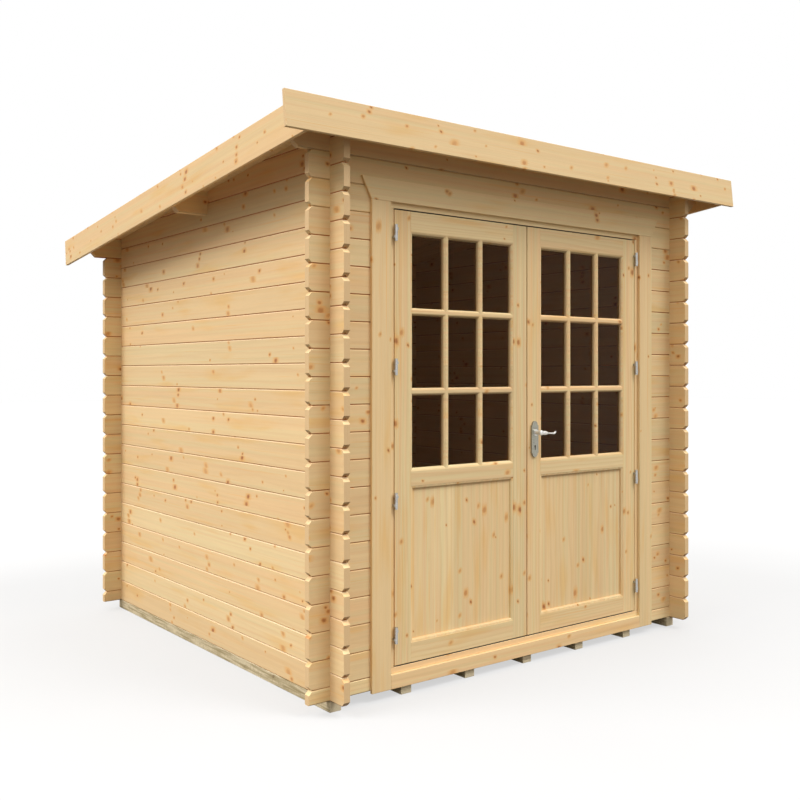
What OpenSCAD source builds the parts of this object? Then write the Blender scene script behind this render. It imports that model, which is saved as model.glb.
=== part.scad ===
// Garden log cabin with a pent roof, built log by log.
// Millimetres. +Z up, the doors face -Y, the model is centred on X,
// z = 0 is the underside of the bearers.

/* [Logs] */

// thickness of a log
log_t = 30; // [28:1:34]
// how far the log ends run past the walls
log_end = 100; // [90:5:120]
// bevel on the top and bottom of a log end
end_bevel = 17; // [12:1:20]
// chamfer along the log edges, two of them make a V joint
v_joint = 4; // [2:0.5:5]
// width of the tongue on top of a log
tongue_w = 10; // [8:1:12]
// height of the tongue
tongue_h = 8; // [6:1:9]
// play at the sides of the tongue
tongue_play = 0.3; // [0.2:0.05:0.4]
// air left above the tongue in the groove
groove_air = 0.5; // [0.3:0.1:0.8]

/* [Walls] */

// height of the front wall from the bearers to the roof boards
wall_h = 2337; // [2296:20.5:2378]

// width of the cabin over the outer wall faces
wall_w = 2240; // [2160:20:2400]
// depth of the cabin over the outer wall faces
wall_d = 2240; // [2160:20:2400]
// number of the top course of the front wall
front_courses = 20; // [20:1:22]
// courses by which the back wall is lower
fall_courses = 2; // [2:2:4]

/* [Base] */

// number of bearers
bearers_n = 7; // [5:2:9]
// width of a bearer
bearer_w = 56; // [45:1:70]
// height of a bearer
bearer_h = 48; // [45:1:70]
// thickness of the floor boards
floor_t = 19; // [16:1:22]
// number of floor boards
floor_boards_n = 19; // [17:1:21]

/* [Roof] */

// thickness of the roof boards
deck_t = 19; // [16:1:22]
// air between the roof boards and the logs that carry them
deck_play = 0.2; // [0.1:0.05:0.3]
// number of roof boards
deck_boards_n = 23; // [21:1:25]
// thickness of the roofing felt
felt_t = 3; // [2:0.5:4]
// width by which the felt strips lap
felt_lap = 80; // [60:10:100]
// thickness of the fascia and the barge boards
fascia_t = 16; // [14:1:20]
// depth of the fascia and the barge boards
fascia_h = 146; // [138:1:150]
// fascia depth that shows below the roof boards
fascia_drop = 109; // [100:1:112]
// barge outer face past the wall
side_reach = 220; // [210:5:260]
// fascia front face ahead of the wall, along the slope
front_reach = 162; // [160:2:200]
// barge rear end behind the back wall, along the slope
rear_reach = 295; // [260:5:320]
// fascia ends past the barge boards
fascia_past = 88; // [60:2:100]
// thickness of the purlin in mid span
purlin_t = 48; // [44:1:60]
// bevel under the purlin ends
purlin_bevel = 55; // [40:1:70]

/* [Door frame] */

// clear width between the jambs
door_w = 1591; // [1541:10:1641]
// thickness of the jambs and the head
jamb_t = 34; // [32:1:40]
// depth of the door frame from front to back
jamb_d = 68; // [64:1:78]
// thickness of the threshold
threshold_t = 26; // [24:1:32]
// width of the stop behind the leaves
stop_w = 15; // [12:1:18]
// lintel log cut away over the door head
lintel_cut = 67.5; // [60:0.5:75]
// sill log cut away under the threshold
sill_cut = 6; // [4:0.5:10]
// thickness of the trim boards
trim_t = 14; // [12:1:16]
// width of the side trim boards
trim_w = 100; // [90:1:105]
// strip of the jamb left clear beside the trim
trim_reveal = 23.5; // [22:0.5:26]
// height of the head trim
head_trim_h = 95; // [85:1:100]
// splay of the head trim ends
head_splay = 51; // [40:1:60]
// trim boards below the logs
trim_drop = 10; // [6:1:14]

/* [Door leaves] */

// gap round each leaf
leaf_gap = 5; // [5:0.5:6]
// gap where the leaves meet
meet_gap = 6; // [6:0.5:8]
// bevel on the meeting edges, over the leaf thickness
meet_bevel = 1.5; // [1:0.25:2]
// thickness of a leaf
leaf_t = 40; // [38:1:42]
// width of a stile
stile_w = 88; // [82:1:94]
// height of the top rail
top_rail_h = 88; // [82:1:94]
// height of the lock rail
lock_rail_h = 64; // [58:1:70]
// height of the bottom rail
foot_rail_h = 84; // [78:1:90]
// clear height between the bottom rail and the lock rail
panel_h = 674; // [620:2:720]
// thickness of the lower panel
panel_t = 16; // [14:1:20]
// panes across and panes up in a leaf
panes = 3; // [2:1:4]
// width of a glazing bar
bar_w = 32; // [28:1:36]
// flat on the front of a glazing bar
bar_flat = 12; // [10:1:14]
// step beside the flat
bar_step = 1; // [0.5:0.25:1.5]
// width of the moulding round the panes and the panel
bead_w = 13; // [11:0.5:14]
// recess of the bars and the moulding from the leaf face
bead_recess = 1.5; // [1:0.25:2]
// thickness that the moulding keeps at its edge
bead_edge = 4.5; // [2:0.5:5]
// thickness of the glass
glass_t = 4; // [3:1:5]

/* [Hinges] */

// hinges on each leaf
hinges_n = 4; // [3:1:5]
// centre of the lowest hinge above the leaf foot
hinge_low = 132; // [110:1:150]
// centre of the highest hinge below the leaf top
hinge_top = 100; // [90:1:150]
// diameter of the barrel
barrel_d = 15; // [14:0.5:15]
// height of the barrel
barrel_h = 70; // [60:1:80]
// air between the barrel and the wood
barrel_air = 5.5; // [5:0.5:6]
// diameter of the pin
pin_d = 8; // [7:0.5:9]
// radial play of the pin
pin_play = 0.05; // [0.04:0.01:0.08]
// gap between the halves of a barrel
knuckle_gap = 0.5; // [0.4:0.1:1]
// width of the lug that holds a half to the wood
lug_w = 6; // [5:0.5:7]
// height of the lug
lug_h = 10; // [8:1:12]
// lug past the edge of the wood
lug_in = 2; // [1.5:0.5:3]
// pin below the top of the barrel
pin_short = 4; // [3:0.5:5]

/* [Handle] */

// height of the spindle above the leaf foot
spindle_z = 962; // [940:2:990]
// distance of the spindle from the meeting edge
spindle_in = 44; // [40:1:50]
// diameter of the spindle
spindle_d = 10; // [9:0.5:11]
// width of the back plate
plate_w = 45; // [42:1:48]
// width of the rounded ends of the plate
plate_end_w = 33; // [30:1:36]
// height of the back plate
plate_h = 172; // [166:1:180]
// height of a rounded end past the shoulders
plate_end_h = 20; // [17:1:22]
// thickness of the back plate
plate_t = 8; // [6:0.5:9]
// plate above the spindle
plate_up = 54; // [50:1:60]
// key hole below the spindle
key_drop = 66; // [60:1:72]
// diameter of the key hole
key_d = 10; // [9:0.5:11]
// height of the key slot below the centre of its hole
key_slot = 18; // [16:0.5:20]
// diameter of the collar on the plate
collar_d = 30; // [27:0.5:32]
// height of the collar
collar_h = 7; // [5:0.5:8]
// diameter of the neck of the lever
neck_d = 21; // [18:0.5:22]
// diameter of the elbow
elbow_d = 24; // [23:0.5:26]
// front of the elbow from the leaf face
lever_out = 56; // [54:1:60]
// length of the grip up to the scroll
grip_l = 86; // [80:1:92]
// diameter of the grip beside the elbow
grip_d = 15; // [13:0.5:16]
// diameter of the grip at its belly
belly_d = 21; // [19:0.5:22]
// diameter of the grip at its waist
waist_d = 7.5; // [7:0.5:9]
// slope of the grip, down from the elbow
grip_slope = 4; // [0:0.5:6]
// diameter of the scroll
scroll_d = 10; // [9.5:0.5:11]
// radius of the scroll
scroll_r = 13; // [12:0.5:15]
// angle of the scroll
scroll_a = 75; // [60:5:90]
// free space between the neck and the collar round its spindle
neck_air = 1; // [0.6:0.1:2]

/* [Hidden] */

$fn = 48;
// base level of the logs and the wall planes
z0 = bearer_h;
log_h = wall_h / (front_courses + 0.5);
xw = wall_w / 2;
quarter = log_h / 4;
back_courses = front_courses - fall_courses;
mid_course = front_courses - fall_courses / 2;
side_courses = front_courses;

// roof frame: origin on the top front edge of the front top log
pitch = atan(fall_courses * log_h / wall_d);
roof_z = z0 + wall_h;
carry_z = roof_z - deck_play / cos(pitch);
fascia_top = fascia_h - fascia_drop;
s_front = -front_reach;
s_back = wall_d / cos(pitch) + rear_reach;
y_min = s_front * cos(pitch) - fascia_drop * sin(pitch);
y_max = s_back * cos(pitch) + fascia_top * sin(pitch);
yf = -(y_min + y_max) / 2;
yb = yf + wall_d;
xb = xw + side_reach;
xr = xb - fascia_t;

// door frame and leaves
xj = door_w / 2;
xo = xj + jamb_t;
open_z0 = z0 + log_h / 2 - sill_cut;
lintel_course = front_courses - 2;
open_z1 = z0 + (lintel_course - 0.5) * log_h + lintel_cut;
leaf_z0 = open_z0 + threshold_t + leaf_gap;
leaf_z1 = open_z1 - jamb_t - leaf_gap;
leaf_h = leaf_z1 - leaf_z0;
leaf_x0 = meet_gap / 2;
leaf_x1 = xj - leaf_gap;
leaf_w = leaf_x1 - leaf_x0;
stop_y = yf + leaf_t + leaf_gap;
field_x0 = leaf_x0 + stile_w;
field_x1 = leaf_x1 - stile_w;
panel_z0 = leaf_z0 + foot_rail_h;
lock_z0 = panel_z0 + panel_h;
glass_z0 = lock_z0 + lock_rail_h;
glass_z1 = leaf_z1 - top_rail_h;
glass_y0 = yf + (leaf_t - glass_t) / 2;
glass_y1 = glass_y0 + glass_t;
panel_y0 = yf + (leaf_t - panel_t) / 2;
panel_y1 = panel_y0 + panel_t;
trim_x0 = xj + trim_reveal;
trim_x1 = trim_x0 + trim_w;
trim_z0 = z0 - trim_drop;
trim_z1 = open_z1 - jamb_t + trim_reveal;

// hinge axis and handle position
axis_x = xj - leaf_gap / 2;
axis_y = yf - barrel_air - barrel_d / 2;
hinge_step = (leaf_h - hinge_low - hinge_top) / (hinges_n - 1);
knob_x = leaf_x0 + spindle_in;
knob_z = leaf_z0 + spindle_z;

// which piece is drawn

// ---- prisms along the three axes ----

module yz_prism(pts, x, w) {
    translate([x, 0, 0])
        rotate([90, 0, 90])
            linear_extrude(w)
                polygon(pts);
}

module xz_prism(pts, y, d) {
    translate([0, y + d, 0])
        rotate([90, 0, 0])
            linear_extrude(d)
                polygon(pts);
}

module xy_prism(pts, z, h) {
    translate([0, 0, z])
        linear_extrude(h)
            polygon(pts);
}

module box(p, q) {
    translate(p)
        cube(q - p);
}

module mirrored() {
    children();
    mirror([1, 0, 0])
        children();
}

module on_roof() {
    translate([0, yf, roof_z])
        rotate([-pitch, 0, 0])
            children();
}

// ---- logs ----

// notches in the lower and the upper edge, each notch is [from, to]
function low_edge(z, cuts, q) = [
    for (c = cuts)
        each [[c[0], z], [c[0], z + q], [c[1], z + q], [c[1], z]]
];

function high_edge(z, q, cuts) = [
    for (i = [len(cuts) - 1 : -1 : 0])
        each [[cuts[i][1], z], [cuts[i][1], z - q],
            [cuts[i][0], z - q], [cuts[i][0], z]]
];

// side view of a log from a to e with bevelled or square ends; the
// half logs at the foot of a wall have no bevel below
function outline(a, e, za, zb, cuts_low, cuts_high, ba, be, top) =
    let (half = zb - za < log_h - 1, la = half ? 0 : ba, le = half ? 0 : be)
    concat(
    [[a, za + la], [a + la, za]],
    low_edge(za, cuts_low, quarter),
    [[e - le, za], [e, za + le], [e, zb - be]],
    [[e - (be > 0 ? be + top : 0), zb + top]],
    high_edge(zb + top, quarter + top, cuts_high),
    [[a + (ba > 0 ? ba + top : 0), zb + top], [a, zb - ba]]
);

// end view of a log: V joint chamfers, tongue on top, groove below
function section(a, za, zb, top, groove) =
    let (m = a + log_t / 2,
        t = tongue_w / 2,
        g = tongue_w / 2 + tongue_play,
        d = groove ? tongue_h + groove_air : 0)
    concat(
        [[a + v_joint, za], [a, za + v_joint], [a, zb - v_joint],
            [a + v_joint, zb]],
        top > 0 ? [[m - t, zb], [m - t, zb + top], [m + t, zb + top],
            [m + t, zb]] : [],
        [[a + log_t - v_joint, zb], [a + log_t, zb - v_joint],
            [a + log_t, za + v_joint], [a + log_t - v_joint, za]],
        d > 0 ? [[m + g, za], [m + g, za + d], [m - g, za + d],
            [m - g, za]] : []
    );

// a log along X with its front face at y
module x_log(y, a, e, za, zb, low, high, ba, be, top, groove) {
    intersection() {
        xz_prism(outline(a, e, za, zb, low, high, ba, be, top), y, log_t);
        yz_prism(section(y, za, zb, top, groove), a, e - a);
    }
}

// a log along Y with its left face at x
module y_log(x, za, zb, low, high, top, groove) {
    a = yf - log_end;
    e = yb + log_end;
    b = end_bevel;
    intersection() {
        yz_prism(outline(a, e, za, zb, low, high, b, b, top), x, log_t);
        xz_prism(section(x, za, zb, top, groove), a, e - a);
    }
}

corner_y = [[yf, yf + log_t], [yb - log_t, yb]];
corner_x = [[-xw, -xw + log_t], [xw - log_t, xw]];

// everything that lies below the roof boards
module under_roof() {
    a = yf - 2 * log_end;
    e = yb + 2 * log_end;
    yz_prism([[a, 0], [e, 0], [e, carry_z - (e - yf) * tan(pitch)],
        [a, carry_z - (a - yf) * tan(pitch)]], -2 * xw, 4 * xw);
}

// one course of a side wall; the upper ones are cut to the slope and
// make way for the purlin
module side_log(x, m) {
    za = z0 + m * log_h;
    zb = za + log_h;
    whole = zb + tongue_h < z0 + (back_courses + 0.4) * log_h;
    if (whole) {
        y_log(x, za, zb, corner_y, corner_y, tongue_h, m > 0);
    } else {
        purlin_z = z0 + (mid_course - 0.5) * log_h;
        pc = (yf + yb) / 2;
        difference() {
            intersection() {
                y_log(x, za, zb, corner_y, corner_y,
                    m < side_courses ? tongue_h : 0, true);
                under_roof();
            }
            box([x - 1, pc - purlin_t / 2, purlin_z],
                [x + log_t + 1, pc + purlin_t / 2, roof_z]);
        }
    }
}

module side_logs(x, first) {
    for (m = [first : 2 : side_courses])
        side_log(x, m);
}

// full course of the front or the back wall, k = 0 is half a log
module cross_log(y, k) {
    za = z0 + max(0, k - 0.5) * log_h;
    zb = z0 + (k + 0.5) * log_h;
    x_log(y, -xw - log_end, xw + log_end, za, zb,
        k > 0 ? corner_x : [], corner_x, end_bevel, end_bevel,
        tongue_h, k > 0);
}

module back_logs(first) {
    for (k = [first : 2 : back_courses - 1])
        cross_log(yb - log_t, k);
}

// short log between the corner and the door frame
module short_log(side, k) {
    za = z0 + (k - 0.5) * log_h;
    zb = z0 + (k + 0.5) * log_h;
    a = side < 0 ? -xw - log_end : xo;
    e = side < 0 ? -xo : xw + log_end;
    c = side < 0 ? [corner_x[0]] : [corner_x[1]];
    x_log(yf, a, e, za, zb, c, c, side < 0 ? end_bevel : 0,
        side < 0 ? 0 : end_bevel, tongue_h, true);
}

module front_logs(side, first) {
    for (k = [first : 2 : lintel_course - 1])
        short_log(side, k);
}

// top log or purlin that runs on under the roof to the barge boards
module roof_beam(y, t, k) {
    za = z0 + (k - 0.5) * log_h;
    zt = za + 2 * log_h;
    b = purlin_bevel;
    xc = xr - b;
    cuts = t == log_t ? corner_x : [];
    top_cut = z0 + (k + 0.25) * log_h;
    intersection() {
        xz_prism(concat(
            [[-xr, za + b], [-xc, za]],
            low_edge(za, cuts, quarter),
            [[xc, za], [xr, za + b], [xr, zt]],
            t == log_t ? [[xw, zt], [xw, top_cut], [xw - log_t, top_cut],
                [xw - log_t, zt], [log_t - xw, zt],
                [log_t - xw, top_cut], [-xw, top_cut], [-xw, zt]] : [],
            [[-xr, zt]]
        ), y, t);
        yz_prism([[y + v_joint, za], [y, za + v_joint],
            [y, carry_z - (y - yf) * tan(pitch)],
            [y + t, carry_z - (y + t - yf) * tan(pitch)],
            [y + t, za + v_joint], [y + t - v_joint, za]], -xr, 2 * xr);
    }
}

// groove for the tongue of the log below a roof beam
module beam_groove(y, k) {
    za = z0 + (k - 0.5) * log_h;
    g = tongue_w / 2 + tongue_play;
    m = y + log_t / 2;
    box([-xw - log_end, m - g, za - 1],
        [xw + log_end, m + g, za + tongue_h + groove_air]);
}

// ---- base ----

module bearers() {
    color("darkkhaki")
        for (i = [0 : bearers_n - 1]) {
            x = -xw + i * (wall_w - bearer_w) / (bearers_n - 1);
            box([x, yf, 0], [x + bearer_w, yb, bearer_h]);
        }
}

// boards with V joints on the upper or the lower side, from a to e
function boards(a, e, n, z, t, up) =
    let (w = (e - a) / n, v = v_joint)
    up ? concat([[a, z], [e, z], [e, z + t]],
            [for (i = [n - 1 : -1 : 1]) each [[a + i * w + v, z + t],
                [a + i * w, z + t - v], [a + i * w - v, z + t]]],
            [[a, z + t]])
       : concat([[e, z + t], [a, z + t], [a, z]],
            [for (i = [1 : n - 1]) each [[a + i * w - v, z],
                [a + i * w, z + v], [a + i * w + v, z]]],
            [[e, z]]);

module floor_deck() {
    color("burlywood")
        yz_prism(boards(yf + log_t, yb - log_t, floor_boards_n, z0,
            floor_t, true), log_t - xw, wall_w - 2 * log_t);
}

// ---- roof ----

module roof_boards() {
    color("burlywood")
        on_roof()
            xz_prism(boards(-xr, xr, deck_boards_n, 0, deck_t, false),
                s_front + fascia_t, s_back - s_front - fascia_t);
}

// three strips of felt, each lapping over the one below it
module roof_felt() {
    a = s_front + fascia_t;
    w = (s_back - a) / 3;
    z = deck_t;
    f = felt_t;
    l = felt_lap;
    color("dimgray")
        on_roof()
            yz_prism([[a, z], [s_back, z], [s_back, z + f],
                [a + 2 * w + l, z + f], [a + 2 * w + l, z + 2 * f],
                [a + 2 * w, z + 2 * f], [a + 2 * w, z + f],
                [a + w + l, z + f], [a + w + l, z + 2 * f],
                [a + w, z + 2 * f], [a + w, z + f], [a, z + f]],
                -xr, 2 * xr);
}

module front_fascia() {
    x = xb + fascia_past;
    color("burlywood")
        on_roof()
            box([-x, s_front, -fascia_drop],
                [x, s_front + fascia_t, fascia_top]);
}

module barge() {
    on_roof()
        box([xr, s_front + fascia_t, -fascia_drop],
            [xb, s_back, fascia_top]);
}

// ---- door frame ----

module jamb() {
    y1 = yf + jamb_d;
    xy_prism([[xj, yf], [xo, yf], [xo, y1], [xj - stop_w, y1],
        [xj - stop_w, stop_y], [xj, stop_y]],
        open_z0 + threshold_t, open_z1 - jamb_t - open_z0 - threshold_t);
}

module door_head() {
    z = open_z1 - jamb_t;
    color("burlywood")
        union() {
            box([-xo, yf, z], [xo, yf + jamb_d, open_z1]);
            box([stop_w - xj, stop_y, z - stop_w],
                [xj - stop_w, yf + jamb_d, z]);
        }
}

module door_threshold() {
    z = open_z0 + threshold_t;
    color("burlywood")
        union() {
            box([-xo, yf, open_z0], [xo, yf + jamb_d, z]);
            box([stop_w - xj, stop_y, z],
                [xj - stop_w, yf + jamb_d, z + stop_w]);
        }
}

module side_trim() {
    box([trim_x0, yf - trim_t, trim_z0], [trim_x1, yf, trim_z1]);
}

module head_trim() {
    z = trim_z1 + head_trim_h;
    x = trim_x1 + head_splay;
    color("burlywood")
        xz_prism([[-trim_x1, trim_z1], [trim_x1, trim_z1], [x, z],
            [-x, z]], yf - trim_t, trim_t);
}

module foot_trim() {
    color("burlywood")
        box([-trim_x0, yf - trim_t, trim_z0],
            [trim_x0, yf, open_z0]);
}

// ---- door leaves, drawn for the right leaf ----

module hinge_stile() {
    box([leaf_x1 - stile_w, yf, leaf_z0], [leaf_x1, yf + leaf_t, leaf_z1]);
}

module meeting_stile() {
    x0 = leaf_x0;
    x1 = leaf_x0 + stile_w;
    y1 = yf + leaf_t;
    xy_prism([[x0, yf], [x1, yf], [x1, y1], [x0 + meet_bevel, y1]],
        leaf_z0, leaf_h);
}

// hole for the spindle, wide enough to leave it free
module spindle_hole() {
    translate([knob_x, yf - 1, knob_z])
        rotate([-90, 0, 0])
            cylinder(d = spindle_d + 11, h = leaf_t + 2);
}

// key hole through a plate or a stile
module keyhole(y, t) {
    z = knob_z - key_drop;
    translate([knob_x, y - 1, z])
        rotate([-90, 0, 0])
            cylinder(d = key_d, h = t + 2);
    box([knob_x - key_d / 4, y - 1, z - key_slot],
        [knob_x + key_d / 4, y + t + 1, z]);
}

module rails() {
    y1 = yf + leaf_t;
    box([field_x0, yf, leaf_z0], [field_x1, y1, panel_z0]);
    box([field_x0, yf, lock_z0], [field_x1, y1, glass_z0]);
    box([field_x0, yf, glass_z1], [field_x1, y1, leaf_z1]);
}

// quarter round from [c0, ya] on the front to [c1, yb] near the glass
function quarter_round(c0, c1, ya, yb) = [
    for (t = [0 : 18 : 90])
        [c0 + (c1 - c0) * sin(t), yb - (yb - ya) * cos(t)]
];

function reversed(v) = [for (i = [len(v) - 1 : -1 : 0]) v[i]];
function swapped(v) = [for (p = v) [p[1], p[0]]];

// section of a moulding from c towards the opening, d is its direction;
// yg is the glass or the panel, ye the leaf face
function bead(c, d, yg, ye) =
    let (s = sign(yg - ye))
    concat([[c, yg]],
        quarter_round(c, c + d * bead_w, ye + s * bead_recess,
            yg - s * bead_edge),
        [[c + d * bead_w, yg]]);

// section of a glazing bar about c
function bar(c, yg, ye) =
    let (s = sign(yg - ye), f = bar_flat / 2, w = bar_w / 2,
        y0 = ye + s * bead_recess, y1 = y0 + s * bar_step,
        y2 = yg - s * bead_edge)
    concat([[c - w, yg]],
        reversed(quarter_round(c - f, c - w, y1, y2)),
        [[c - f, y0], [c + f, y0]],
        quarter_round(c + f, c + w, y1, y2),
        [[c + w, yg]]);

// moulding round an opening, its corners mitred
module moulding(za, zb, yg, ye) {
    h = zb - za;
    w = field_x1 - field_x0;
    xy_prism(bead(field_x0, 1, yg, ye), za, h);
    xy_prism(bead(field_x1, -1, yg, ye), za, h);
    yz_prism(swapped(bead(za, 1, yg, ye)), field_x0, w);
    yz_prism(swapped(bead(zb, -1, yg, ye)), field_x0, w);
}

// moulding and glazing bars on one side of the glass
module glazing(yg, ye) {
    w = field_x1 - field_x0;
    h = glass_z1 - glass_z0;
    px = (w - 2 * bead_w - (panes - 1) * bar_w) / panes;
    pz = (h - 2 * bead_w - (panes - 1) * bar_w) / panes;
    union() {
        moulding(glass_z0, glass_z1, yg, ye);
        for (i = [1 : panes - 1]) {
            x = field_x0 + bead_w + i * px + (i - 0.5) * bar_w;
            z = glass_z0 + bead_w + i * pz + (i - 0.5) * bar_w;
            xy_prism(bar(x, yg, ye), glass_z0, h);
            yz_prism(swapped(bar(z, yg, ye)), field_x0, w);
        }
    }
}

module bars() {
    glazing(glass_y0, yf);
    glazing(glass_y1, yf + leaf_t);
}

module panel() {
    union() {
        box([field_x0, panel_y0, panel_z0], [field_x1, panel_y1, lock_z0]);
        moulding(panel_z0, lock_z0, panel_y0, yf);
        moulding(panel_z0, lock_z0, panel_y1, yf + leaf_t);
    }
}

module glass() {
    box([field_x0, glass_y0, glass_z0], [field_x1, glass_y1, glass_z1]);
}

// ---- hinges, drawn for the right leaf ----

module at_hinges() {
    for (i = [0 : hinges_n - 1])
        translate([axis_x, axis_y, leaf_z0 + hinge_low + i * hinge_step])
            children();
}

// lug from the barrel to the wood, halfway up a half
module lug(z) {
    a = leaf_gap / 2 + lug_in;
    e = a + lug_w;
    r = barrel_d / 4;
    h = lug_h / 2;
    box([a, -r, z - h], [e, yf - axis_y, z + h]);
    box([0, -r, z - h], [e, r, z + h]);
}

// lower half on the jamb, with the pin
module frame_half() {
    h = barrel_h / 2;
    union() {
        translate([0, 0, -h])
            cylinder(d = barrel_d, h = h);
        translate([0, 0, -h])
            cylinder(d = pin_d, h = 2 * h - pin_short);
        lug(-h / 2);
    }
}

// upper half on the leaf, turning on the pin
module leaf_half() {
    h = barrel_h / 2;
    difference() {
        union() {
            translate([0, 0, knuckle_gap])
                cylinder(d = barrel_d, h = h - knuckle_gap);
            mirror([1, 0, 0])
                lug(h / 2);
        }
        translate([0, 0, -1])
            cylinder(d = pin_d + 2 * pin_play, h = h - pin_short / 2 + 1);
    }
}

// ---- handle ----

module round_bar(d, h, x, y, z) {
    translate([x, y, z])
        rotate([-90, 0, 0])
            cylinder(d = d, h = h);
}

// back plate with a collar; yc is where the collar starts
module plate(y, yc) {
    w = plate_w / 2;
    zb = knob_z + plate_up;
    za = zb - plate_h;
    r = plate_end_w / 2;
    difference() {
        union() {
            box([knob_x - w, y, za + plate_end_h],
                [knob_x + w, y + plate_t, zb - plate_end_h]);
            box([knob_x - r, y, za + r], [knob_x + r, y + plate_t, zb - r]);
            round_bar(plate_end_w, plate_t, knob_x, y, za + r);
            round_bar(plate_end_w, plate_t, knob_x, y, zb - r);
            round_bar(collar_d, collar_h, knob_x, yc, knob_z);
        }
        round_bar(spindle_d + 2 * pin_play, plate_t + 2 * collar_h,
            knob_x, y - collar_h, knob_z);
        keyhole(y, plate_t);
    }
}

// one turned length of the grip along +X
module turned(x0, x1, d0, d1) {
    translate([x0, 0, 0])
        rotate([0, 90, 0])
            cylinder(d1 = d0, d2 = d1, h = x1 - x0);
}

// turned grip along +X that ends in a scroll curling up
module grip() {
    x1 = grip_l * 0.30;
    x2 = grip_l * 0.42;
    x3 = grip_l * 0.58;
    x4 = grip_l * 0.78;
    small = scroll_d - 1;
    turned(0, x1, grip_d, belly_d);
    turned(x1, x2, belly_d, belly_d * 0.86);
    turned(x2, x3, belly_d * 0.86, waist_d);
    turned(x3, x4, waist_d, waist_d);
    turned(x4, grip_l, waist_d, small);
    translate([grip_l, 0, scroll_r])
        rotate([90, 0, 0])
            rotate([0, 0, -90]) {
                rotate_extrude(angle = scroll_a)
                    translate([scroll_r, 0])
                        circle(d = scroll_d);
                rotate([0, 0, scroll_a])
                    translate([scroll_r, -pin_play * 6, 0])
                        rotate([-90, 0, 0])
                            cylinder(d1 = small, d2 = scroll_d / 2,
                                h = scroll_d / 4);
            }
}

// neck and elbow on one side, turned about the spindle; the elbow's
// edges are eased
module elbow(h) {
    r = elbow_d / 2;
    n = neck_d / 2;
    e = r * 0.4;
    rotate([90, 0, 0])
        rotate([0, 0, 180])
            rotate_extrude()
                polygon([[0, 0], [n, 0], [n, h - 1.6 * r], [r, h - 1.2 * r],
                    [r, h - e], [r - e, h], [0, h]]);
}

// lever on one side: neck, elbow and grip; s is -1 outside, 1 inside
module lever_side(ys, s) {
    gap = plate_t + collar_h + neck_air;
    translate([knob_x, ys + s * gap, knob_z])
        rotate([0, 0, s < 0 ? 0 : 180])
            elbow(lever_out - gap);
    translate([knob_x, ys + s * (lever_out - belly_d / 2), knob_z])
        rotate([0, grip_slope, 0])
            grip();
}

module handle_lever() {
    reach = plate_t + collar_h + neck_air + 1;
    color("silver")
        union() {
            lever_side(yf, -1);
            lever_side(yf + leaf_t, 1);
            round_bar(spindle_d, leaf_t + 2 * reach, knob_x, yf - reach,
                knob_z);
        }
}

// ---- pieces ----

module left_logs_a() { color("burlywood") side_logs(-xw, 0); }
module left_logs_b() { color("tan") side_logs(-xw, 1); }
module right_logs_a() { color("burlywood") side_logs(xw - log_t, 0); }
module right_logs_b() { color("tan") side_logs(xw - log_t, 1); }
module back_logs_a() { color("burlywood") back_logs(0); }
module back_logs_b() { color("tan") back_logs(1); }
module front_left_logs_a() { color("burlywood") front_logs(-1, 1); }
module front_left_logs_b() { color("tan") front_logs(-1, 2); }
module front_right_logs_a() { color("burlywood") front_logs(1, 1); }
module front_right_logs_b() { color("tan") front_logs(1, 2); }

module sill_log() {
    color("burlywood")
        difference() {
            cross_log(yf, 0);
            box([-xo, yf - 1, open_z0], [xo, yf + log_t + 1, z0 + log_h]);
        }
}

module lintel_log() {
    color("burlywood")
        difference() {
            cross_log(yf, lintel_course);
            box([-xo, yf - 1, open_z0], [xo, yf + log_t + 1, open_z1]);
        }
}

module upper_log() { color("tan") cross_log(yf, front_courses - 1); }

module front_top_log() {
    color("burlywood")
        difference() {
            roof_beam(yf, log_t, front_courses);
            beam_groove(yf, front_courses);
        }
}

module back_top_log() {
    color("burlywood")
        difference() {
            roof_beam(yb - log_t, log_t, back_courses);
            beam_groove(yb - log_t, back_courses);
        }
}

module mid_purlin() {
    color("burlywood")
        roof_beam((yf + yb - purlin_t) / 2, purlin_t, mid_course);
}

module left_barge() { color("tan") mirror([1, 0, 0]) barge(); }
module right_barge() { color("tan") barge(); }
module door_jambs() { color("burlywood") mirrored() jamb(); }
module side_trims() { color("tan") mirrored() side_trim(); }

module left_stiles() {
    color("burlywood")
        mirror([1, 0, 0]) {
            hinge_stile();
            meeting_stile();
        }
}

module right_stiles() {
    color("burlywood") {
        hinge_stile();
        difference() {
            meeting_stile();
            spindle_hole();
            keyhole(yf, leaf_t);
        }
    }
}

module left_rails() { color("tan") mirror([1, 0, 0]) rails(); }
module right_rails() { color("tan") rails(); }
module left_bars() { color("wheat") mirror([1, 0, 0]) bars(); }
module right_bars() { color("wheat") bars(); }
module left_panel() { color("wheat") mirror([1, 0, 0]) panel(); }
module right_panel() { color("wheat") panel(); }
module left_glass() { color("lightblue") mirror([1, 0, 0]) glass(); }
module right_glass() { color("lightblue") glass(); }
module frame_hinges() { color("silver") mirrored() at_hinges() frame_half(); }
module right_hinges() { color("silver") at_hinges() leaf_half(); }

module left_hinges() {
    color("silver")
        mirror([1, 0, 0])
            at_hinges()
                leaf_half();
}

module handle_plates() {
    color("silver") {
        plate(yf - plate_t, yf - plate_t - collar_h);
        plate(yf + leaf_t, yf + leaf_t + plate_t);
    }
}

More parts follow.
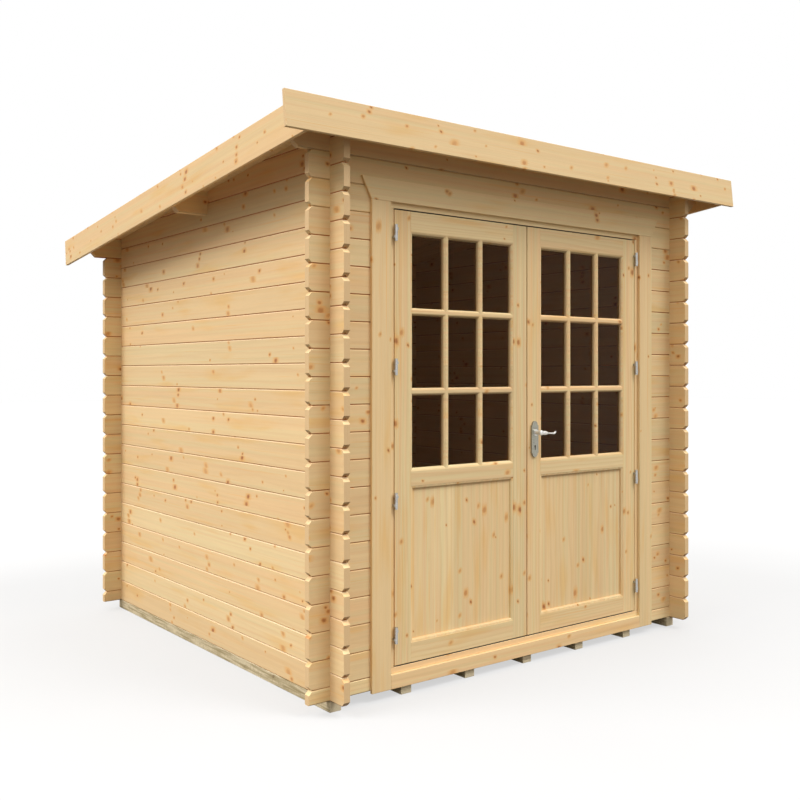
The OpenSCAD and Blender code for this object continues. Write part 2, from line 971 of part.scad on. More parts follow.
bearers();
floor_deck();  // floor
left_logs_a();
left_logs_b();
right_logs_a();
right_logs_b();
back_logs_a();
back_logs_b();
front_left_logs_a();
front_left_logs_b();
front_right_logs_a();
front_right_logs_b();
sill_log();
lintel_log();
upper_log();
front_top_log();
back_top_log();
mid_purlin();
roof_boards();
roof_felt();
front_fascia();
left_barge();
right_barge();
door_jambs();
door_head();
door_threshold();
side_trims();
head_trim();
foot_trim();
left_stiles();
left_rails();
left_bars();
left_panel();
left_glass();
right_stiles();
right_rails();
right_bars();
right_panel();
right_glass();
frame_hinges();
left_hinges();
right_hinges();
handle_plates();
handle_lever();
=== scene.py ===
import math

import bpy
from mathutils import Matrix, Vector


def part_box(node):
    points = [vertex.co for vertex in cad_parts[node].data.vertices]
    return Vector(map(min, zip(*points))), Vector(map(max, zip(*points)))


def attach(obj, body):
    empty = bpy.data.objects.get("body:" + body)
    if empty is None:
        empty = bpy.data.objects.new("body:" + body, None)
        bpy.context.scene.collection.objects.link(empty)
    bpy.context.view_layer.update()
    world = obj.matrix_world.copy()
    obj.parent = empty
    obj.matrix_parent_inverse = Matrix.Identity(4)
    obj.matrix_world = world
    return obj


# A garden log cabin: pine materials, glass, metal, light and camera round
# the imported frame. Lengths are in metres.

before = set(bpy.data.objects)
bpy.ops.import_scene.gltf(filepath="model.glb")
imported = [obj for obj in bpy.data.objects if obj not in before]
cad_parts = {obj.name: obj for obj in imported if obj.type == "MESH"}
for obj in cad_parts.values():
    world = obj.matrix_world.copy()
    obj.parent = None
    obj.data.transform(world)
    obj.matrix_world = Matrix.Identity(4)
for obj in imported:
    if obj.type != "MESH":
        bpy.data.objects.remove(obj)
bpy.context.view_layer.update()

LOG_H = 0.114           # height of a log course
WALL_D = 2.24           # front face to back face
WALL_T = 0.030          # thickness of the walls
JOINT = 0.005           # height of the painted shade line in a V joint
FLOOR_BOARD = 0.109     # width of a floor board
ROOF_BOARD = 0.0883     # width of a roof board
SPINDLE = (0.047, 1.092)    # x and z of the lever's spindle
HUB_R = 0.0152          # radius of the polished collar round it
PLAY = 0.005            # gap between a leaf and its frame
GAP_SHADE_T = 0.0015         # thickness of the dark strips painted as shade in the door gaps

PITCH = math.atan2(2 * LOG_H, WALL_D)


def edge(node, end, axis):
    """Lower (end 0) or upper (end 1) side of a node's box along an axis."""
    return round(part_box(node)[end]["xyz".index(axis)], 6)


WALL_Z = edge("bearers", 1, "z")
FRONT = edge("sill_log", 0, "y")
LEAF_FOOT = edge("left_stiles", 0, "z")
LEAF_TOP = edge("left_stiles", 1, "z")
ROOF_LEFT = edge("roof_boards", 0, "x")


def srgb(r, g, b):
    """Linear colour of an 8-bit screen colour."""
    def lin(c):
        c = c / 255
        return c / 12.92 if c < 0.04045 else ((c + 0.055) / 1.055) ** 2.4
    return (lin(r), lin(g), lin(b), 1.0)


class Net:
    """Short calls that build the nodes of one tree."""

    def __init__(self, tree):
        self.tree = tree

    def put(self, socket, value):
        if isinstance(value, bpy.types.NodeSocket):
            self.tree.links.new(value, socket)
        else:
            socket.default_value = value

    def node(self, kind, inputs=None, **props):
        n = self.tree.nodes.new("ShaderNode" + kind)
        for key, value in props.items():
            setattr(n, key, value)
        for key, value in (inputs or {}).items():
            self.put(n.inputs[key], value)
        return n

    def m(self, op, *args, clamp=False):
        return self.node("Math", dict(enumerate(args)), operation=op,
                         use_clamp=clamp).outputs[0]

    def vec(self, x=0.0, y=0.0, z=0.0):
        return self.node("CombineXYZ", {0: x, 1: y, 2: z}).outputs[0]

    def split(self, v):
        return self.node("SeparateXYZ", {0: v}).outputs

    def sum(self, *args):
        out = args[0]
        for a in args[1:]:
            out = self.m("ADD", out, a)
        return out

    def step(self, x, a, b, lo=0.0, hi=1.0):
        """Smooth step of x from lo at a to hi at b."""
        return self.node("MapRange", {
            "Value": x, "From Min": a, "From Max": b, "To Min": lo,
            "To Max": hi}, interpolation_type="SMOOTHSTEP").outputs[0]

    def mix(self, f, a, b, blend="MIX"):
        n = self.node("Mix", data_type="RGBA", blend_type=blend)
        self.put(n.inputs[0], f)
        self.put(n.inputs[6], a)
        self.put(n.inputs[7], b)
        return n.outputs[2]

    def noise(self, v, scale=1.0, detail=2.0, rough=0.5):
        return self.node("TexNoise", {
            "Vector": v, "Scale": scale, "Detail": detail,
            "Roughness": rough}).outputs[0]

    def bell(self, x):
        """exp(-x) for the bell curve of a squared distance."""
        return self.m("POWER", 2.71828, self.m("MULTIPLY", x, -1.0))


def new_material(name):
    mat = bpy.data.materials.new(name)
    mat.use_nodes = True
    mat.node_tree.nodes.clear()
    return mat, Net(mat.node_tree)


def finish_material(net, color, rough, height, depth=0.0004, strength=0.5,
                    **uniform):
    bsdf = net.node("BsdfPrincipled", uniform)
    net.put(bsdf.inputs["Base Color"], color)
    net.put(bsdf.inputs["Roughness"], rough)
    if height is not None:
        bump = net.node("Bump", {"Strength": strength, "Distance": depth,
                                 "Height": height})
        net.put(bsdf.inputs["Normal"], bump.outputs[0])
    out = net.node("OutputMaterial")
    net.put(out.inputs[0], bsdf.outputs[0])


# ---- pine ----

CREAM = srgb(239, 213, 163)
ROSY = srgb(239, 203, 152)
STRAW = srgb(231, 211, 160)
BLUSH = srgb(236, 196, 146)
FLAME = srgb(240, 184, 108)
LATE = srgb(206, 158, 100)
HALO = srgb(232, 178, 108)
KNOT = srgb(196, 127, 71)
CORE = srgb(140, 82, 44)


def knot(net, du, dv, on, radius, k):
    """(distance over radius, push of the grain) of the knot at du, dv;
    k is its random number."""
    wob = net.m("MULTIPLY_ADD", net.noise(net.vec(
        net.m("MULTIPLY", du, 130), net.m("MULTIPLY", dv, 130), k),
        1.0, 1.0), 0.6, 0.7)
    lean = net.m("MULTIPLY", net.m("SUBTRACT", k, 0.5), 0.7)
    a = net.m("MULTIPLY", net.m("MULTIPLY_ADD", dv, lean, du), 0.78)
    b = net.m("MULTIPLY", dv, 0.92)
    d = net.m("SQRT", net.m("ADD", net.m("MULTIPLY", a, a),
                            net.m("MULTIPLY", b, b)))
    d = net.m("MULTIPLY", net.m("DIVIDE", d, radius), wob)
    d = net.m("ADD", d, net.m("MULTIPLY", net.m("SUBTRACT", 1.0, on), 99.0))
    su = net.m("DIVIDE", du, net.m("MULTIPLY", radius, 5.0))
    sv = net.m("DIVIDE", dv, net.m("MULTIPLY", radius, 1.7))
    near = net.bell(net.m("ADD", net.m("MULTIPLY", su, su),
                          net.m("MULTIPLY", sv, sv)))
    push = net.m("MULTIPLY", net.m("MULTIPLY", near, on),
                 net.m("MULTIPLY", dv, -0.8))
    return d, push


def loose_knots(net, u, v, rid, cell_u, cell_v, keep, r_min, r_max):
    """Knots strewn over a board: the feature points of stretched cells."""
    x = net.m("MULTIPLY_ADD", u, 1 / cell_u, net.m("MULTIPLY", rid, 51.7))
    y = net.m("MULTIPLY_ADD", v, 1 / cell_v, net.m("MULTIPLY", rid, 17.3))
    vor = net.node("TexVoronoi", {"Vector": net.vec(x, y), "Scale": 1.0,
                                  "Randomness": 0.9},
                   voronoi_dimensions="2D")
    px, py, _ = net.split(vor.outputs["Position"])
    r1, r2, r3 = net.node("SeparateColor",
                          {0: vor.outputs["Color"]}).outputs
    du = net.m("MULTIPLY", net.m("SUBTRACT", x, px), cell_u)
    dv = net.m("MULTIPLY", net.m("SUBTRACT", y, py), cell_v)
    radius = net.m("MULTIPLY_ADD", r2, r_max - r_min, r_min)
    return (*knot(net, du, dv, net.m("LESS_THAN", r1, keep), radius, r3),
            r3)


def whorl_knots(net, u, v, rid, cell_u, cell_v, keep, r_min, r_max):
    """Knots in short rows across a board, as the branches of a whorl."""
    x = net.m("MULTIPLY_ADD", u, 1 / cell_u, net.m("MULTIPLY", rid, 37.1))
    vor = net.node("TexVoronoi", {"W": x, "Scale": 1.0, "Randomness": 0.8},
                   voronoi_dimensions="1D")
    px = vor.outputs["W"]
    row = net.m("FLOOR", net.m("DIVIDE", v, cell_v))
    white = net.node("TexWhiteNoise", {
        "Vector": net.vec(net.m("MULTIPLY", px, 9.3), row, rid)},
        noise_dimensions="3D")
    r1, r2, r3 = net.node("SeparateColor",
                          {0: white.outputs["Color"]}).outputs
    whorl = net.node("TexWhiteNoise", {
        "Vector": net.vec(net.m("MULTIPLY", px, 5.7), rid, 3.0)},
        noise_dimensions="3D")
    w1, w2, _ = net.node("SeparateColor",
                         {0: whorl.outputs["Color"]}).outputs
    off = net.m("ABSOLUTE", net.m(
        "SUBTRACT", net.m("FLOORED_MODULO", row, 4.0),
        net.m("FLOOR", net.m("MULTIPLY", w2, 3.9))))
    r1 = net.sum(r1, net.m("MULTIPLY", off, 0.33),
                 net.m("MULTIPLY", net.m("GREATER_THAN", w1, keep), 9.0))
    du = net.m("MULTIPLY", net.m("SUBTRACT", x, px), cell_u)
    du = net.m("ADD", du, net.m("MULTIPLY_ADD", r3, 0.084, -0.042))
    dv = net.m("SUBTRACT", v, net.m("MULTIPLY", net.m("ADD", row, 0.5),
                                    cell_v))
    dv = net.m("ADD", dv, net.m("MULTIPLY_ADD", r2, 0.016, -0.008))
    big = net.m("POWER", net.m("FRACT", net.m("MULTIPLY", r2, 7.31)), 1.5)
    radius = net.m("MULTIPLY_ADD", big, r_max - r_min, r_min)
    return (*knot(net, du, dv, net.m("LESS_THAN", r1, 0.85), radius, r3),
            r3)


def pine(name, along="x", cell=None, origin=0.0, shift=None, side=None,
         density=1.0, tones=0.5, warm=0.0, slope=0.0, joint=0.0,
         bands=1.0, rings=1.0, gain=1.0, small=1.0, glint=0.0):
    """Planed pine. along is the grain, cell the height of a board across
    the grain, counted from origin, side the axis whose sign tells boards
    apart, and shift a fixed random number."""
    mat, net = new_material(name)
    coord = net.node("TexCoord")
    p = coord.outputs["Object"]
    normal = coord.outputs["Normal"]
    if slope:
        turn = {"Rotation": (slope, 0.0, 0.0)}
        p = net.node("Mapping", {"Vector": p, **turn}).outputs[0]
    x, y, z = net.split(p)
    nx, ny, nz = net.split(normal)
    axes = {"x": (x, z, y, nx), "y": (y, z, x, ny), "z": (z, x, y, nz),
            "yx": (y, x, z, ny), "xy": (x, y, z, nx)}
    u, v, w, nu = axes[along]
    seed = net.m("MULTIPLY_ADD", u, 0.0, shift or 0.0)
    if cell:
        n = net.m("FLOOR", net.m("DIVIDE", net.m("SUBTRACT", v, origin),
                                 cell))
        v = net.m("SUBTRACT", net.m("SUBTRACT", v, origin),
                  net.m("MULTIPLY", n, cell))
        seed = net.m("ADD", seed, n)
    if side:
        s = {"x": x, "y": y, "z": z}[side]
        seed = net.m("ADD", seed, net.m(
            "MULTIPLY", net.m("GREATER_THAN", s, 0.0), 41.0))
    white = net.node("TexWhiteNoise", {"W": seed}, noise_dimensions="1D")
    ra, rb, rc = net.node("SeparateColor",
                          {0: white.outputs["Color"]}).outputs
    rid = white.outputs["Value"]
    board_v = v
    u = net.m("MULTIPLY_ADD", rc, 23.0, u)

    d1, push1, k1 = whorl_knots(net, u, v, rid, 0.42, 0.030,
                                0.68 * density, 0.0045, 0.0115)
    d2, push2, k2 = loose_knots(net, u, v, rb, 0.20, 0.050,
                                0.16 * small, 0.0022, 0.0060)
    v = net.sum(v, push1, push2)

    # growth rings about a pith behind the board
    pv = net.m("MULTIPLY_ADD", ra, 0.34, -0.17 + (cell or 0.1) / 2)
    pw = net.m("MULTIPLY_ADD", rb, 0.06, 0.030)
    wv = net.m("SUBTRACT", v, pv)
    ww = net.m("ADD", w, pw)
    ring = net.m("SQRT", net.m("ADD", net.m("MULTIPLY", wv, wv),
                               net.m("MULTIPLY", ww, ww)))
    slow = net.noise(net.vec(net.m("MULTIPLY", u, 0.8), rid,
                             net.m("MULTIPLY", v, 2.0)), 1.0, 1.0)
    wavy = net.noise(net.vec(net.m("MULTIPLY", u, 7.0),
                             net.m("MULTIPLY", v, 30.0), rid), 1.0, 1.0)
    ring = net.sum(ring, net.m("MULTIPLY", slow, 0.014 * bands),
                   net.m("MULTIPLY", wavy, 0.0015))
    count = net.m("MULTIPLY", ring, 290.0)
    count = net.m("ADD", count, net.m("MULTIPLY", net.noise(
        net.vec(net.m("MULTIPLY", ring, 70.0), 0.0, rid), 1.0, 1.0), 3.0))
    f = net.m("FRACT", count)
    late = net.m("MULTIPLY", net.step(f, 0.35, 0.92),
                 net.step(f, 0.94, 1.0, 1.0, 0.0))

    # broad zones, streaks and fibres along the grain
    zone = net.noise(net.vec(net.m("MULTIPLY", ring, 55.0),
                             net.m("MULTIPLY", u, 0.5), rid), 1.0, 2.0)
    streak = net.noise(net.vec(net.m("MULTIPLY", u, 1.6),
                               net.m("MULTIPLY", v, 60.0),
                               net.m("MULTIPLY", w, 60.0)), 1.0, 3.0, 0.6)
    fibre = net.noise(net.vec(net.m("MULTIPLY", u, 22.0),
                              net.m("MULTIPLY", v, 900.0),
                              net.m("MULTIPLY", w, 900.0)), 1.0, 2.0)
    patch = net.noise(net.vec(net.m("MULTIPLY", u, 2.3),
                              net.m("MULTIPLY", v, 16.0), rid), 1.0, 2.0)

    tone = net.m("MULTIPLY_ADD", net.m("SUBTRACT", ra, 0.5), 2 * tones,
                 0.5 + warm, clamp=True)
    color = net.mix(tone, CREAM, ROSY)
    tint = net.noise(net.vec(net.m("MULTIPLY", u, 0.4),
                             net.m("MULTIPLY", v, 34.0), rid), 1.0, 2.0)
    blush = net.noise(net.vec(net.m("MULTIPLY", u, 0.6),
                              net.m("MULTIPLY", v, 46.0),
                              net.m("ADD", rid, 5.0)), 1.0, 2.0)
    flame = net.noise(net.vec(net.m("MULTIPLY", u, 1.8),
                              net.m("MULTIPLY", v, 120.0),
                              net.m("ADD", rid, 9.0)), 1.0, 2.0)
    color = net.mix(net.step(tint, 0.45, 0.62, 0.0, 0.70 * bands), color,
                    STRAW)
    color = net.mix(net.step(blush, 0.50, 0.68, 0.0, 0.75 * bands), color,
                    BLUSH)
    color = net.mix(net.step(flame, 0.60, 0.76, 0.0, 0.60 * bands), color,
                    FLAME)
    color = net.mix(net.step(zone, 0.40, 0.80, 0.0, 0.10 * rings), color,
                    LATE)
    color = net.mix(net.step(patch, 0.52, 0.78, 0.0, 0.50), color,
                    srgb(236, 186, 108))
    color = net.mix(net.m("MULTIPLY", late, 0.18 * rings), color, LATE)
    shade = net.sum(
        net.m("MULTIPLY", net.m("SUBTRACT", streak, 0.5), 0.16),
        net.m("MULTIPLY", net.m("SUBTRACT", fibre, 0.5), 0.10),
        net.m("MULTIPLY", net.m("SUBTRACT", rb, 0.5), 0.11), gain)
    color = net.mix(1.0, color, net.vec(shade, shade, shade), "MULTIPLY")

    # knots: a soft halo, an orange body and a dark core
    for d, k in ((d1, k1), (d2, k2)):
        halo = net.step(d, 0.8, 3.0, 0.80, 0.0)
        body = net.m("MULTIPLY", net.step(d, 0.55, 1.45, 1.0, 0.0),
                     net.step(k, 0.05, 0.65, 0.40, 0.80))
        core = net.m("MULTIPLY", net.step(d, 0.25, 0.85, 1.0, 0.0),
                     net.step(k, 0.40, 0.95, 0.05, 0.70))
        color = net.mix(halo, color, HALO)
        color = net.mix(body, color, KNOT)
        color = net.mix(core, color, CORE)

    # end grain
    end = net.step(net.m("ABSOLUTE", nu), 0.8, 0.95)
    dark = net.mix(net.m("MULTIPLY_ADD", late, 0.5, 0.12),
                   srgb(232, 202, 156), LATE)
    color = net.mix(end, color, dark)

    # painted shade on undersides of bevels and beads, less toward the key
    # light;
    # painted shade at each log's lower edge, a painted highlight at its upper
    # edge
    painted_underside_shade = net.m("MULTIPLY", net.step(nz, -0.25, -0.6, 0.0, 0.45),
                  net.step(nz, -0.97, -0.8, 0.0, 1.0))
    painted_underside_shade = net.m("MULTIPLY", painted_underside_shade, net.step(nx, -0.6, -0.25, 0.4, 1.0))
    color = net.mix(painted_underside_shade, color, srgb(120, 70, 30))
    if joint:
        # painted shade in the V joint, along each log's lower edge
        line = net.step(board_v, 0.4 * joint, joint, 0.9, 0.0)
        color = net.mix(line, color, srgb(176, 102, 44))
        # painted highlight along each log's upper edge
        painted_lip_highlight = net.step(board_v, cell - 0.0045, cell - 0.002, 0.0, glint)
        color = net.mix(painted_lip_highlight, color, srgb(255, 240, 206))

    rough = net.sum(net.m("MULTIPLY", late, -0.07),
                    net.m("MULTIPLY", fibre, 0.12),
                    net.step(d1, 0.8, 1.2, -0.12, 0.0), 0.60)
    height = net.sum(net.m("MULTIPLY", late, -0.35),
                     net.m("MULTIPLY", fibre, 0.5),
                     net.step(d1, 0.8, 1.1, 0.5, 0.0))
    finish_material(net, color, rough, height, 0.0004, 0.35,
                    **{"Specular IOR Level": 0.35})
    return mat


def treated_timber():
    """Sawn bearers, green-brown from pressure treatment."""
    mat, net = new_material("treated_timber")
    coord = net.node("TexCoord")
    x, y, z = net.split(coord.outputs["Object"])
    ny = net.split(coord.outputs["Normal"])[1]
    rid = net.node("TexWhiteNoise", {
        "W": net.m("ROUND", net.m("MULTIPLY", x, 2.7))},
        noise_dimensions="1D").outputs["Value"]
    d, push, k = loose_knots(net, y, z, rid, 0.3, 0.03, 0.4, 0.003, 0.008)
    v = net.m("ADD", z, push)
    streak = net.noise(net.vec(net.m("MULTIPLY", y, 8.0),
                               net.m("MULTIPLY", v, 120.0),
                               net.m("MULTIPLY", x, 120.0)), 1.0, 3.0, 0.6)
    saw = net.noise(net.vec(net.m("MULTIPLY", y, 400.0),
                            net.m("MULTIPLY", v, 25.0),
                            net.m("MULTIPLY", x, 25.0)), 1.0, 2.0)
    ring = net.m("SQRT", net.m("ADD", net.m("POWER", net.m(
        "ADD", z, net.m("MULTIPLY", rid, 0.05)), 2.0), net.m("POWER", net.m(
            "MULTIPLY", net.m("FRACT", net.m("MULTIPLY", x, 2.7)), 0.1),
            2.0)))
    rings = net.m("FRACT", net.m("MULTIPLY", ring, 350.0))
    color = net.mix(net.step(streak, 0.34, 0.66), srgb(228, 212, 178),
                    srgb(164, 146, 108))
    color = net.mix(net.step(saw, 0.4, 0.65, 0.0, 0.5), color,
                    srgb(160, 144, 104))
    end = net.step(net.m("ABSOLUTE", ny), 0.8, 0.95)
    color = net.mix(net.m("MULTIPLY", end, 0.75), color,
                    srgb(238, 224, 192))
    color = net.mix(net.m("MULTIPLY", end, net.m("MULTIPLY", rings, 0.35)),
                    color, srgb(150, 128, 92))
    color = net.mix(net.step(d, 0.7, 1.2, 0.6, 0.0), color,
                    srgb(112, 86, 54))
    height = net.m("ADD", saw, net.m("MULTIPLY", streak, 0.5))
    finish_material(net, color, net.m("MULTIPLY_ADD", saw, 0.15, 0.72),
                    height, 0.0008, 0.5, **{"Specular IOR Level": 0.3})
    return mat


def felt():
    """Mineral felt: granules on dark bitumen."""
    mat, net = new_material("roof_felt")
    p = net.node("TexCoord").outputs["Object"]
    grain = net.node("TexVoronoi", {"Vector": p, "Scale": 620.0})
    r = net.node("SeparateColor", {0: grain.outputs["Color"]}).outputs
    big = net.noise(p, 1.6, 4.0)
    color = net.mix(r[0], srgb(50, 56, 54), srgb(98, 104, 98))
    color = net.mix(net.step(r[1], 0.86, 0.92), color, srgb(140, 144, 136))
    color = net.mix(net.step(big, 0.4, 0.7, 0.0, 0.22), color,
                    srgb(58, 60, 56))
    height = net.step(grain.outputs["Distance"], 0.0, 0.5, 1.0, 0.0)
    finish_material(net, color, net.m("MULTIPLY_ADD", r[2], 0.2, 0.75),
                    height, 0.0006, 0.7)
    return mat


def metal(name, base, rough, hub=None, bare=1.0):
    """Bare metal with fine wear and a cloudy finish, polished within a
    radius of the line along Y through hub."""
    mat, net = new_material(name)
    p = net.node("TexCoord").outputs["Object"]
    cloud = net.noise(p, 260.0, 3.0)
    x, y, z = net.split(p)
    scratch = net.noise(net.vec(net.m("MULTIPLY", x, 500.0),
                                net.m("MULTIPLY", y, 500.0),
                                net.m("MULTIPLY", z, 3000.0)), 1.0, 2.0)
    dull = tuple(0.62 * c for c in base[:3]) + (1.0,)
    color = net.mix(net.step(cloud, 0.4, 0.7, 0.0, 0.7), base, dull)
    r = net.sum(net.m("MULTIPLY", cloud, 0.16),
                net.m("MULTIPLY", scratch, 0.10), rough)
    if hub:
        hx, hz, radius = hub
        dx, dz = net.m("SUBTRACT", x, hx), net.m("SUBTRACT", z, hz)
        d = net.m("SQRT", net.m("ADD", net.m("MULTIPLY", dx, dx),
                                net.m("MULTIPLY", dz, dz)))
        on = net.m("LESS_THAN", d, radius)
        color = net.mix(on, color, (0.74, 0.73, 0.69, 1.0))
        r = net.m("MULTIPLY_ADD", on, -0.10, r)
    finish_material(net, color, r, scratch, 0.00005, 0.2, Metallic=bare)
    return mat


def door_glass():
    """Glass tinted grey-brown, painted shade that darkens the interior seen
    through it; orange-tinted reflections and a trace of dust.
    """
    mat, net = new_material("door_glass")
    p = net.node("TexCoord").outputs["Object"]
    dust = net.noise(p, 14.0, 4.0)
    # the grey-brown base colour is painted shade on the interior behind the
    # glass
    bsdf = net.node("BsdfPrincipled", {
        "Base Color": srgb(194, 181, 166), "IOR": 1.18,
        "Specular Tint": (1.0, 0.50, 0.25, 1.0),
        "Transmission Weight": 1.0})
    net.put(bsdf.inputs["Roughness"], net.step(dust, 0.4, 0.8, 0.0, 0.05))
    out = net.node("OutputMaterial")
    net.put(out.inputs[0], bsdf.outputs[0])
    return mat


HALF_Z = WALL_Z - LOG_H / 2     # front and back courses lie half a log off
side_pine = pine("side_log_pine", "y", LOG_H, WALL_Z, side="x", warm=0.2,
                 gain=0.98, bands=0.6, rings=0.5, joint=JOINT, glint=0.4)
back_pine = pine("back_log_pine", "x", LOG_H, HALF_Z, shift=90.0,
                 gain=0.95, rings=0.5, joint=JOINT)
front_pine = pine("front_log_pine", "x", LOG_H, HALF_Z, side="x",
                  shift=200.0, gain=0.93, bands=0.7, rings=0.5,
                  joint=JOINT)
top_pine = pine("top_log_pine", "x", shift=310.0, bands=0.7)
purlin_pine = pine("purlin_pine", "x", shift=320.0)
floor_pine = pine("floor_pine", "xy", FLOOR_BOARD,
                  FRONT + WALL_T, shift=330.0)
# gain 1.1 is painted light: it lightens the roof boards to stand in for bounce
# light on their underside
roof_pine = pine("roof_pine", "yx", ROOF_BOARD, ROOF_LEFT, shift=470.0,
                 gain=1.1)
fascia_pine = pine("fascia_pine", "x", shift=503.0, density=1.4, small=3.2,
                   warm=0.3, bands=0.55, gain=1.01)
barge_pine = pine("barge_pine", "y", side="x", shift=510.0, slope=PITCH,
                  density=1.3, small=4.0, warm=0.4, bands=0.6, gain=1.02)
trim_pine = pine("upright_pine", "z", side="x", shift=603.0)
jamb_pine = pine("jamb_pine", "z", side="x", shift=640.0)
level_pine = pine("level_pine", "x", shift=700.0, bands=0.7)
foot_pine = pine("foot_pine", "x", shift=711.0)
stile_pine = pine("stile_pine", "z", 0.3975, -0.795, shift=801.0,
                  density=0.8, warm=-0.15)
rail_pine = pine("rail_pine", "x", 0.5, LEAF_FOOT, side="x", shift=900.0,
                 density=0.95, bands=0.6)
bar_pine = pine("bar_pine", "x", 0.16, LEAF_FOOT, side="x", shift=940.0,
                density=0.9)
panel_pine = pine("panel_pine", "z", 0.1125, 0.0, shift=1001.0, density=0.9,
                  tones=0.4, bands=0.8, warm=-0.25, gain=1.01)
bearer_mat = treated_timber()
felt_mat = felt()
hinge_mat = metal("hinge_steel", (0.53, 0.53, 0.51, 1.0), 0.30)
plate_mat = metal("handle_plate_metal", (0.37, 0.36, 0.30, 1.0), 0.28,
                  hub=(*SPINDLE, HUB_R))
lever_mat = metal("handle_metal", (0.80, 0.79, 0.75, 1.0), 0.30, bare=0.55)
glass_mat = door_glass()

LOOKS = {
    "bearers": bearer_mat, "floor": floor_pine,
    "left_logs_a": side_pine, "left_logs_b": side_pine,
    "right_logs_a": side_pine, "right_logs_b": side_pine,
    "back_logs_a": back_pine, "back_logs_b": back_pine,
    "front_left_logs_a": front_pine, "front_left_logs_b": front_pine,
    "front_right_logs_a": front_pine, "front_right_logs_b": front_pine,
    "sill_log": level_pine, "lintel_log": level_pine,
    "upper_log": purlin_pine, "front_top_log": top_pine,
    "back_top_log": back_pine, "mid_purlin": purlin_pine,
    "roof_boards": roof_pine, "roof_felt": felt_mat,
    "front_fascia": fascia_pine, "left_barge": barge_pine,
    "right_barge": barge_pine, "door_jambs": jamb_pine,
    "door_head": level_pine, "door_threshold": foot_pine,
    "side_trims": trim_pine, "head_trim": level_pine,
    "foot_trim": foot_pine,
    "left_stiles": stile_pine, "left_rails": rail_pine,
    "left_bars": bar_pine, "left_panel": panel_pine,
    "left_glass": glass_mat,
    "right_stiles": stile_pine, "right_rails": rail_pine,
    "right_bars": bar_pine, "right_panel": panel_pine,
    "right_glass": glass_mat,
    "frame_hinges": hinge_mat, "left_hinges": hinge_mat,
    "right_hinges": hinge_mat, "handle_plates": plate_mat,
    "handle_lever": lever_mat,
}
ROUND = ("frame_hinges", "left_hinges", "right_hinges", "handle_plates",
         "handle_lever")
EASED = {   # nodes whose edges are eased, and by how much
    "front_fascia": 0.002, "left_barge": 0.002, "right_barge": 0.002,
    "side_trims": 0.002, "head_trim": 0.002, "foot_trim": 0.002,
    "door_jambs": 0.0015, "door_head": 0.0015, "door_threshold": 0.0015,
    "left_stiles": 0.0012, "right_stiles": 0.0012, "left_rails": 0.0006,
    "right_rails": 0.0006, "mid_purlin": 0.002, "bearers": 0.002,
}

for name, mat in LOOKS.items():
    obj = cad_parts[name]
    for place in obj.material_slots:
        place.material = mat
    mesh = obj.data
    if name in ROUND:
        continue
    if "custom_normal" in mesh.attributes:
        mesh.attributes.remove(mesh.attributes["custom_normal"])
    mesh.shade_flat()
    weld = obj.modifiers.new("weld", "WELD")
    weld.merge_threshold = 0.00001
    if name in EASED:
        flat = obj.modifiers.new("flat", "DECIMATE")
        flat.decimate_type = "DISSOLVE"
        flat.angle_limit = math.radians(0.5)
        bevel = obj.modifiers.new("ease", "BEVEL")
        bevel.width = EASED[name]
        bevel.segments = 2
        bevel.limit_method = "ANGLE"
        bevel.angle_limit = math.radians(40)
        bevel.harden_normals = False


# ---- dark strips in the rebates above and below the leaves: painted shade for the deep gaps ----

def gap_shade_material():
    # near-black colour: painted shade for the deep door gaps
    mat, net = new_material("door_gap_shade")
    p = net.node("TexCoord").outputs["Object"]
    dust = net.noise(p, 60.0, 3.0)
    color = net.mix(net.step(dust, 0.4, 0.8), srgb(22, 20, 18),
                    srgb(52, 46, 40))
    finish_material(net, color, net.m("MULTIPLY_ADD", dust, 0.2, 0.6), None)
    return mat


def gap_shade_strip(name, z):
    """A dark strip in the rebate across the doorway, from z upward: painted
    shade for the deep gap there.
    """
    width, depth, behind = 1.57, 0.034, 0.018
    bpy.ops.mesh.primitive_cube_add(size=1.0, location=(
        0.0, FRONT + behind, z + GAP_SHADE_T / 2))
    obj = bpy.context.object
    obj.name = name
    obj.scale = (width, depth, GAP_SHADE_T)
    bpy.ops.object.transform_apply(location=False, rotation=False)
    obj.data.materials.append(gap_shade_mat)
    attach(obj, "cabin")


gap_shade_mat = gap_shade_material()
gap_shade_strip("threshold_gap_shade", LEAF_FOOT - PLAY)
gap_shade_strip("head_gap_shade", LEAF_TOP + PLAY - GAP_SHADE_T)


# ---- floor, light and camera ----

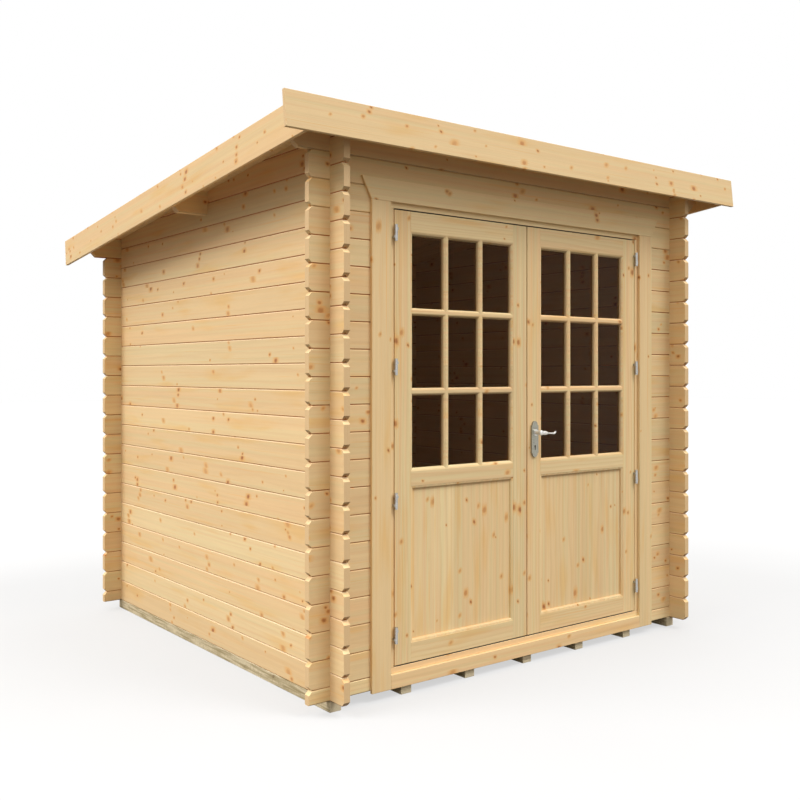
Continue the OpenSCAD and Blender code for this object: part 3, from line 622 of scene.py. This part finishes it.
def ground():
    bpy.ops.mesh.primitive_plane_add(size=80.0, location=(0, 0, 0))
    plane = bpy.context.object
    plane.name = "studio_floor"
    mat, net = new_material("studio_floor")
    path = net.node("LightPath")
    seen = net.m("MAXIMUM", path.outputs["Is Camera Ray"], net.m(
        "MAXIMUM", path.outputs["Is Glossy Ray"],
        path.outputs["Is Transmission Ray"]))
    soft = net.noise(net.node("TexCoord").outputs["Object"], 0.7, 2.0)
    pale = net.mix(soft, (0.19, 0.19, 0.19, 1), (0.21, 0.21, 0.21, 1))
    white = net.node("BsdfDiffuse", {"Color": pale})
    glow = net.node("Emission", {"Color": (1, 1, 1, 1), "Strength": 0.61})
    both = net.node("AddShader", {0: white.outputs[0], 1: glow.outputs[0]})
    grey = net.node("BsdfDiffuse", {"Color": (0.070, 0.066, 0.060, 1)})
    mix = net.node("MixShader", {0: seen, 1: grey.outputs[0],
                                 2: both.outputs[0]})
    net.put(net.node("OutputMaterial").inputs[0], mix.outputs[0])
    plane.data.materials.append(mat)


def sky():
    world = bpy.data.worlds.new("studio")
    world.use_nodes = True
    world.node_tree.nodes.clear()
    net = Net(world.node_tree)
    path = net.node("LightPath")
    seen = net.m("MAXIMUM", path.outputs["Is Camera Ray"], net.m(
        "MAXIMUM", path.outputs["Is Glossy Ray"],
        path.outputs["Is Transmission Ray"]))
    white = net.node("Background", {"Color": (1, 1, 1, 1), "Strength": 1.0})
    z = net.split(net.node("TexCoord").outputs["Generated"])[2]
    rise = net.m("MULTIPLY_ADD", net.m("MAXIMUM", z, 0.0), 1.42, 0.36)
    hue = net.mix(net.step(z, 0.1, 0.6), (1, 0.90, 0.77, 1),
                  (1, 1, 0.99, 1))
    soft = net.node("Background", {"Color": hue, "Strength": rise})
    mix = net.node("MixShader", {0: seen, 1: soft.outputs[0],
                                 2: white.outputs[0]})
    net.put(net.node("OutputWorld").inputs[0], mix.outputs[0])
    bpy.context.scene.world = world


def sun(name, direction, strength, angle):
    """Soft studio light from a direction, its angle in degrees."""
    data = bpy.data.lights.new(name, "SUN")
    data.energy = strength
    data.angle = math.radians(angle)
    data.color = (1.0, 0.99, 0.99)
    obj = bpy.data.objects.new(name, data)
    x, y, z = direction
    obj.rotation_euler = (math.atan2(math.hypot(x, y), z), 0.0,
                          math.atan2(x, -y))
    bpy.context.collection.objects.link(obj)


def camera():
    data = bpy.data.cameras.new("camera")
    data.sensor_width = 36.0
    data.lens = 43.393
    data.shift_y = -0.03385
    obj = bpy.data.objects.new("camera", data)
    obj.location = (-3.2763, -4.4443, 1.3761)
    obj.rotation_euler = (math.radians(90), 0.0, math.radians(-37.626))
    bpy.context.collection.objects.link(obj)
    bpy.context.scene.camera = obj


ground()
sky()
sun("key", (-0.68, 0.20, 0.70), 2.05, 35)
sun("fill", (0.30, -0.48, 0.82), 1.58, 26)
camera()
bpy.context.scene.view_settings.view_transform = "Standard"
